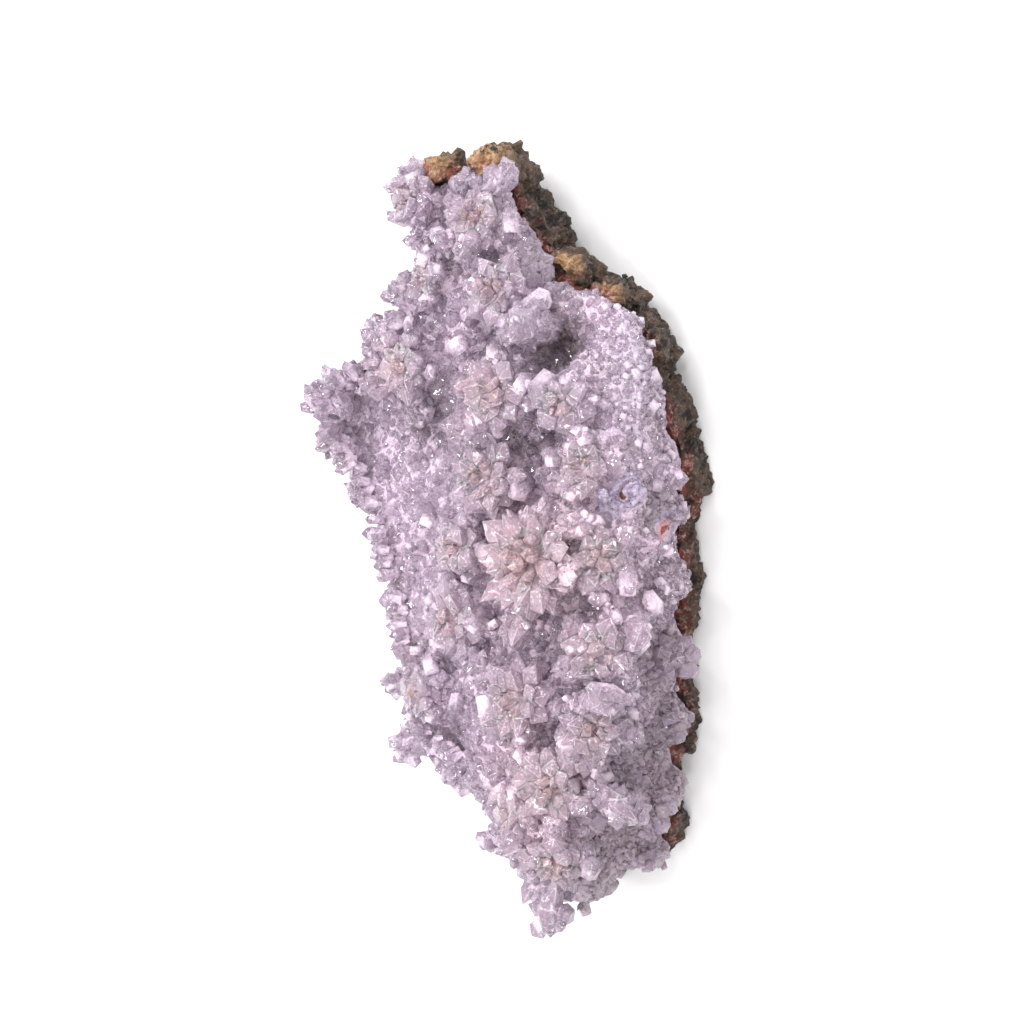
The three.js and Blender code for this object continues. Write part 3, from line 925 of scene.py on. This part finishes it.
def hollowness(corners):
    """1 in the hollows under the ledges, 0 on what stands out."""
    plan = np.floor((corners[:, :2] + (0, SHADE_SIDE)) / HOLLOW_CELL).astype(int) + PLAN_HALF
    return smooth(heights[tuple(plan.T)] - corners[:, 2], *HOLLOW_DEPTH)


bed_normals = np.array([corner.normal for corner in bed.data.vertices])
heights = height_map(corners_of(bed)[bed_normals[:, 2] > 0])
HEARTS = [(middle + 2 * LIFT * axis, HEART_SHARE * radius) for middle, axis, radius in flowers]
for piece in (bed, petals, tuft, fringe, small):
    corners = corners_of(piece)
    spots = {"heart": HEARTS, "grey_and_shade": GREY_AND_SHADED_SIDE, "pink": PINK_HEART, "white": WHITE_SECTION}
    for name, places in spots.items():
        keep_number(piece.data, name, nearness(corners, places))
    # The cave and the spots under the ledges take painted shadow.
    ledges = LEDGE_SHARE * nearness(corners, UNDER_LEDGES)
    keep_number(piece.data, "cave", np.maximum(nearness(corners, CAVE), ledges))
    # How much painted shade each corner gets in the hollows under the ledges.
    keep_number(piece.data, "hollow", hollowness(corners))
keep_number(bed.data, "rim", 1 - smooth(away_from(rock, corners_of(bed)), 0.7, 2.0))
OCHRE_HEAD = [((-1, 62, 18), 9), ((-11, 60, 16), 6), ((22, 38, 17), 5), ((15, 43, 18), 5)]
beside_bed = away_from(bed, corners_of(rock))
keep_number(rock.data, "stain", 1 - smooth(beside_bed, 0.5, 3.5))
keep_number(rock.data, "line", 1 - smooth(beside_bed, 0.3, 1.0))
keep_number(rock.data, "ochre", nearness(corners_of(rock), OCHRE_HEAD))

# %% [markdown]
# ## Quartz
# Amethyst is clear violet quartz, milky towards the root. One function makes the material of each
# piece: glass with quartz's refraction at the tips, mixed towards a milky body at the roots, with
# white veils, white flecks as painted glints, pale edges as painted highlights, brown iron specks,
# and the painted shade and shadow of the hollows, the ledges, the cave and the foot of the broken
# side. A face of a real crystal is broken into small planes that lean a little, so both parts lean
# by cells: little in the glass, which stays sharp, and more in the milky body, which is rounded off
# too. In the large petals the glass also takes up some light and the milky body scatters it. The
# small crystals look the same without that.

# %% Colours of the quartz
LILAC = (0.68, 0.525, 0.685)
PINK = (0.95, 0.68, 0.75)
GREY_AND_SHADE = (0.125, 0.10, 0.11)  # the foot of the broken side: greyer quartz, darkened further as painted shade
# painted shade in the hollows under the ledges
HOLLOW_SHADE = (0.42, 0.33, 0.36)
PALE = (0.80, 0.71, 0.83)
CHALKY = (0.60, 0.53, 0.66)  # the head of the broken side
WHITE = (1.0, 0.97, 1.0)
RUST = (0.30, 0.155, 0.075)
STAINED = (0.70, 0.46, 0.38)  # the hearts, around the iron specks
DEEP = (0.52, 0.41, 0.47)
AGATE = (0.50, 0.43, 0.54)
# painted shadow in the cave and under the ledges
CAVE_SHADOW = (0.13, 0.085, 0.07)
TIP = (0.47, 0.36, 0.49)  # the tips of small crystals
TIP_SHARE = 0.6
# How fine the noises are, in blobs to the metre. The last breaks up the painted highlight on the
# rims.
VEILS, RUST_GROUPS, RUST_GRAINS, SOFT, RIM_HIGHLIGHT_BREAKS = 700, 260, 2000, 90, 420
VEIL_EDGE = 40  # how sharply a veil ends


def white_veils_and_glints(place, speck, amount):
    """Above 0 on the white veils inside the quartz, which are healed cracks painted bright as
    lines of light too, and on tiny flecks, which are painted glints.
    """
    away = noise(place, VEILS, 2, 0.6) - 0.5
    veils = 1 - (away.math("ABSOLUTE", away) * VEIL_EDGE).clamped()
    return (veils * 0.5 + ramp(speck, 0.90, 0.94)).clamped() * amount


def rust_specks(tree, place):
    """1 on the iron specks, which sit in groups in the hearts of the rosettes."""
    groups = ramp(attribute(tree, "heart") * noise(place, RUST_GROUPS, 2), 0.13, 0.30)
    return ramp(noise(place, RUST_GRAINS, 3, 0.7), 0.55, 0.59) * groups


def quartz_colour(tree, place, speck, veil_and_glint, rust):
    """Colour of the quartz, from where it is on the specimen and from the speck's own chance. It
    takes painted shade and shadow in the hollows, the cave, under the ledges and at the foot of
    the broken side, and painted glints in its flecks.
    """
    soft = noise(place, SOFT, 2)
    return painted(
        tree, LILAC,
        ((attribute(tree, "pink") * 0.9 + soft * 0.9 - 0.35).clamped(), PINK),
        (attribute(tree, "white") * 0.7, CHALKY),
        (attribute(tree, "chance") * 0.2, PALE),
        (ramp(speck, 0.3, 0.0) * 0.4, DEEP),
        # white veils, and tiny flecks that are painted glints
        (veil_and_glint, WHITE),
        # greyer quartz at the foot of the broken side, darkened further as painted shade
        ((attribute(tree, "grey_and_shade") * 1.8).clamped() * 0.92, GREY_AND_SHADE),
        (attribute(tree, "heart") * 0.3, STAINED),
        (rust, RUST),
        # painted shade in the hollows under the ledges
        (attribute(tree, "hollow") * 0.45, HOLLOW_SHADE),
        # painted shadow in the cave and, weaker, under the ledges
        ((attribute(tree, "cave") * 1.4).clamped(), CAVE_SHADOW))

# %% Quartz materials
CLEAR = (1.0, 0.92, 0.98, 1)
INSIDE = {"Color": (0.97, 0.68, 0.83, 1), "Density": 60.0}  # the light that petals take up
QUARTZ_IOR = 1.544
SPARKLE_CELL = 0.3
PLANE_CELL = 1.0
PLANE_TILT = 0.2
GLASS_PLANE_TILT = 0.08
GLASS_SHARE = 0.1  # of the tilt of the milky body
ROUNDING = 0.6  # how far the milky body rounds off the shading of a crystal
# how strongly the rims take a painted highlight
RIM_HIGHLIGHT = 0.4


def sparkle(place, size):
    """Splits a surface into cells. Returns a chance for each, and a random lean of its face."""
    values = {"Vector": place, "Scale": 1 / (size * MM)}
    cells = add_node(place.tree, "ShaderNodeTexVoronoi", {"feature": "F1"}, values)[1]
    lean = cells.vector_math("MULTIPLY_ADD", (2.0,) * 3, (-1.0,) * 3)[0]
    return add_node(place.tree, "ShaderNodeSeparateColor", {}, {0: cells})[0], lean


def tilted_normal(tree, rounding, *leans):
    """The normal between that of the flat face and the rounded one, tilted by shares of leans."""
    geometry = add_node(tree, "ShaderNodeNewGeometry", {}, {})
    rounded, flat = geometry[1], geometry[3]
    normal = add_node(tree, "ShaderNodeMix", {"data_type": "VECTOR"}, {
        0: rounding, 4: flat, 5: rounded})[1]
    for lean, tilt in leans:
        normal = lean.vector_math("MULTIPLY_ADD", (tilt,) * 3, normal)[0]
    return normal.vector_math("NORMALIZE")[0]


def dress_in_quartz(piece, name, tilt, veiled_and_glinting, dulled, clear_from, clear_to, most_clear, tinted):
    """Quartz that is milky at the root of a crystal and gets clear between two shares of its
    length. If it is tinted, its glass takes up light and its milky body scatters it."""
    material, tree = new_material(name)
    place = place_in(tree)
    speck, lean = sparkle(place, SPARKLE_CELL)
    plane, plane_lean = sparkle(place, PLANE_CELL)
    # White veils, and tiny flecks that are painted glints.
    veil_and_glint = white_veils_and_glints(place, speck, veiled_and_glinting)
    rust = rust_specks(tree, place)
    # Greyer, less clear quartz, with painted shade.
    grey_and_shade = attribute(tree, "grey_and_shade")
    tipward = attribute(tree, "tipward")
    # A painted highlight in white on the rims, broken up by noise.
    rim_highlight = attribute(tree, "edge") * ramp(noise(place, RIM_HIGHLIGHT_BREAKS, 2), 0.42, 0.62)
    colour = painted(
        tree, quartz_colour(tree, place, speck, veil_and_glint, rust),
        (plane * 0.4 * (1 - grey_and_shade), PALE),
        (dulled, DEEP),
        (0.0 if tinted else ramp(tipward, 0.3, 1.0) * TIP_SHARE, TIP),
        (rim_highlight * RIM_HIGHLIGHT, WHITE))
    milky = add_node(tree, "ShaderNodeBsdfPrincipled", {"subsurface_method": "RANDOM_WALK"}, {
        "Base Color": colour, "Roughness": 0.1, "IOR": QUARTZ_IOR,
        "Normal": tilted_normal(tree, ROUNDING, (lean, tilt), (plane_lean, PLANE_TILT)),
        "Subsurface Weight": 1.0 if tinted else 0.0, "Subsurface Radius": (1.0, 0.98, 1.0),
        "Subsurface Scale": 0.6 * MM})[0]
    glass = add_node(tree, "ShaderNodeBsdfPrincipled", {}, {
        "Base Color": CLEAR, "Roughness": 0.03, "IOR": QUARTZ_IOR, "Transmission Weight": 1.0,
        "Normal": tilted_normal(
            tree, 0.0, (lean, GLASS_SHARE * tilt), (plane_lean, GLASS_PLANE_TILT))})[0]
    facing = add_node(tree, "ShaderNodeLayerWeight", {}, {"Blend": 0.5})[1]
    share = ramp(tipward, clear_from, clear_to) * most_clear * (1 - facing * 0.4)
    share = share * (1 - veil_and_glint * 0.6) * (1 - rust) * (1 - rim_highlight * RIM_HIGHLIGHT) * (1 - grey_and_shade * 0.75)
    surface = add_node(tree, "ShaderNodeMixShader", {}, {0: share, 1: milky, 2: glass})[0]
    more = {"Volume": add_node(tree, "ShaderNodeVolumeAbsorption", {}, INSIDE)[0]} if tinted else {}
    finish_material(piece, material, surface, **more)


PETAL_LOOK = {"tilt": 0.35, "veiled_and_glinting": 0.5, "dulled": 0.0, "clear_from": 0.1, "clear_to": 0.6,
              "most_clear": 0.79, "tinted": True}
SMALL_LOOK = {"tilt": 0.4, "veiled_and_glinting": 0.6, "dulled": 0.15, "clear_from": 0.2, "clear_to": 0.7,
              "most_clear": 0.78, "tinted": False}
dress_in_quartz(petals, "petal_quartz", **PETAL_LOOK)
for piece in (small, tuft, fringe):
    dress_in_quartz(piece, piece.name + "_quartz", **SMALL_LOOK)

# %% [markdown]
# ## The bed's quartz and its agate
# The bed is the same quartz, but milky all through and grainy. Along the rock the quartz began as
# agate, in thin lilac bands. Where the broken side cuts across a pocket of it, the bands show as
# an eye: rings around a dark slit, and around a red spot. They are painted as distances from the
# middle of the eye, which noise makes uneven.

# %% Bed material
BED_STAIN, BED_GRAINS, RING_WOBBLE = 800, 900, 500  # blobs to the metre
SLIT = Vector((0.69, 0.60, -0.40)).normalized()
# Rings from the outside in: how far out in millimetres, and the colour.
SLIT_EYE = [
    (3.4, (0.44, 0.36, 0.48)), (2.6, (0.56, 0.47, 0.61)), (1.9, (0.34, 0.27, 0.40)),
    (1.3, (0.64, 0.55, 0.66)), (1.0, (0.20, 0.07, 0.045)), (0.65, (0.05, 0.015, 0.01))]
RED_EYE = [
    (3.4, (0.46, 0.38, 0.49)), (2.6, (0.66, 0.55, 0.66)), (1.8, (0.74, 0.44, 0.47)),
    (0.8, (0.36, 0.07, 0.05))]


def rings(tree, place, colour, centre, stretch, bands):
    """Paints an agate eye around its centre, stretched along the slit."""
    offset = place.vector_math("SUBTRACT", Vector(centre) * MM)[0]
    run = offset.vector_math("DOT_PRODUCT", SLIT)[1]
    shift = add_node(tree, "ShaderNodeVectorMath", {"operation": "SCALE"}, {
        0: SLIT, 3: run * (1 - 1 / stretch)})[0]
    away = offset.vector_math("SUBTRACT", shift)[0].vector_math("LENGTH")[1]
    away = away + noise(place, RING_WOBBLE, 2) * (0.8 * MM) - 0.4 * MM
    return painted(tree, colour, *(
        (ramp(away, distance * MM, 0.8 * distance * MM), band) for distance, band in bands))


bed_material, tree = new_material("milky_quartz")
place = place_in(tree)
speck, lean = sparkle(place, SPARKLE_CELL)
plane_lean = sparkle(place, PLANE_CELL)[1]
# White veils, and tiny flecks that are painted glints.
veil_and_glint = white_veils_and_glints(place, speck, 0.8)
colour = painted(
    tree, quartz_colour(tree, place, speck, veil_and_glint, rust_specks(tree, place)),
    (0.15, PALE),
    (ramp(noise(place, BED_STAIN, 2, 0.7), 0.45, 0.62) * 0.3, DEEP),
    (attribute(tree, "rim") * 0.8, AGATE))
colour = rings(tree, place, colour, EYES[0], 3, SLIT_EYE)
colour = rings(tree, place, colour, EYES[1], 1.4, RED_EYE)
normal = tilted_normal(tree, ROUNDING, (lean, 0.5), (plane_lean, 0.5))
grains = noise(place, BED_GRAINS, 4, 0.7)
milky = add_node(tree, "ShaderNodeBsdfPrincipled", {}, {
    "Base Color": colour, "Roughness": 0.15, "IOR": QUARTZ_IOR,
    "Normal": bump(grains, 0.8 * MM, 0.8, Normal=normal)})[0]
finish_material(bed, bed_material, milky)

# %% [markdown]
# ## Volcanic rock
# Fresh breaks are near black, weathered ones olive brown, and iron has stained it red where it
# meets the quartz and ochre at the head.

# %% Rock material
ROCK_LUMPS, ROCK_GRIT, ROCK_PATCHES = 330, 1300, 360  # blobs to the metre
BLACK, BROWN, TAN = (0.010, 0.007, 0.006), (0.09, 0.052, 0.034), (0.27, 0.19, 0.13)
RED, OCHRE, PALE_OCHRE = (0.22, 0.045, 0.030), (0.33, 0.18, 0.08), (0.54, 0.36, 0.22)
PINK_GRAINS = (0.62, 0.40, 0.37)

rock_material, tree = new_material("volcanic_rock")
place = place_in(tree)
lumps = noise(place, ROCK_LUMPS, 5, 0.7)
grit = noise(place, ROCK_GRIT, 4, 0.75)
weathered = (attribute(tree, "ochre") * 1.8 * ramp(lumps, 0.36, 0.52)).clamped()
ochres = blend(tree, ramp(grit, 0.42, 0.62), OCHRE, PALE_OCHRE)
stained = attribute(tree, "stain") * ramp(noise(place, ROCK_PATCHES, 3), 0.42, 0.56)
reds = blend(tree, ramp(grit, 0.50, 0.62), RED, PINK_GRAINS)
colour = painted(
    tree, BLACK,
    (ramp(lumps, 0.40, 0.60), BROWN),
    (ramp(grit, 0.52, 0.68) * 0.7, TAN),
    (weathered, ochres),
    (stained * 0.85, reds),
    (attribute(tree, "line") * 0.8, RED))
stone = add_node(tree, "ShaderNodeBsdfPrincipled", {}, {
    "Base Color": colour, "Roughness": 0.55, "Normal": bump(grit + lumps, 0.6 * MM, 0.9)})[0]
finish_material(rock, rock_material, stone)

# %% [markdown]
# ## Handing over
# Every piece rides on the one rigid body. The bed and the rock stand in for the two CAD nodes.

# %% Hand the pieces to the frame
for form in (petal_form, point_form):
    bpy.data.objects.remove(form)
for piece in (bed, petals, tuft, fringe, small, rock):
    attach(piece, "root")
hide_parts("crystal_crust")
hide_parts("host_rock")
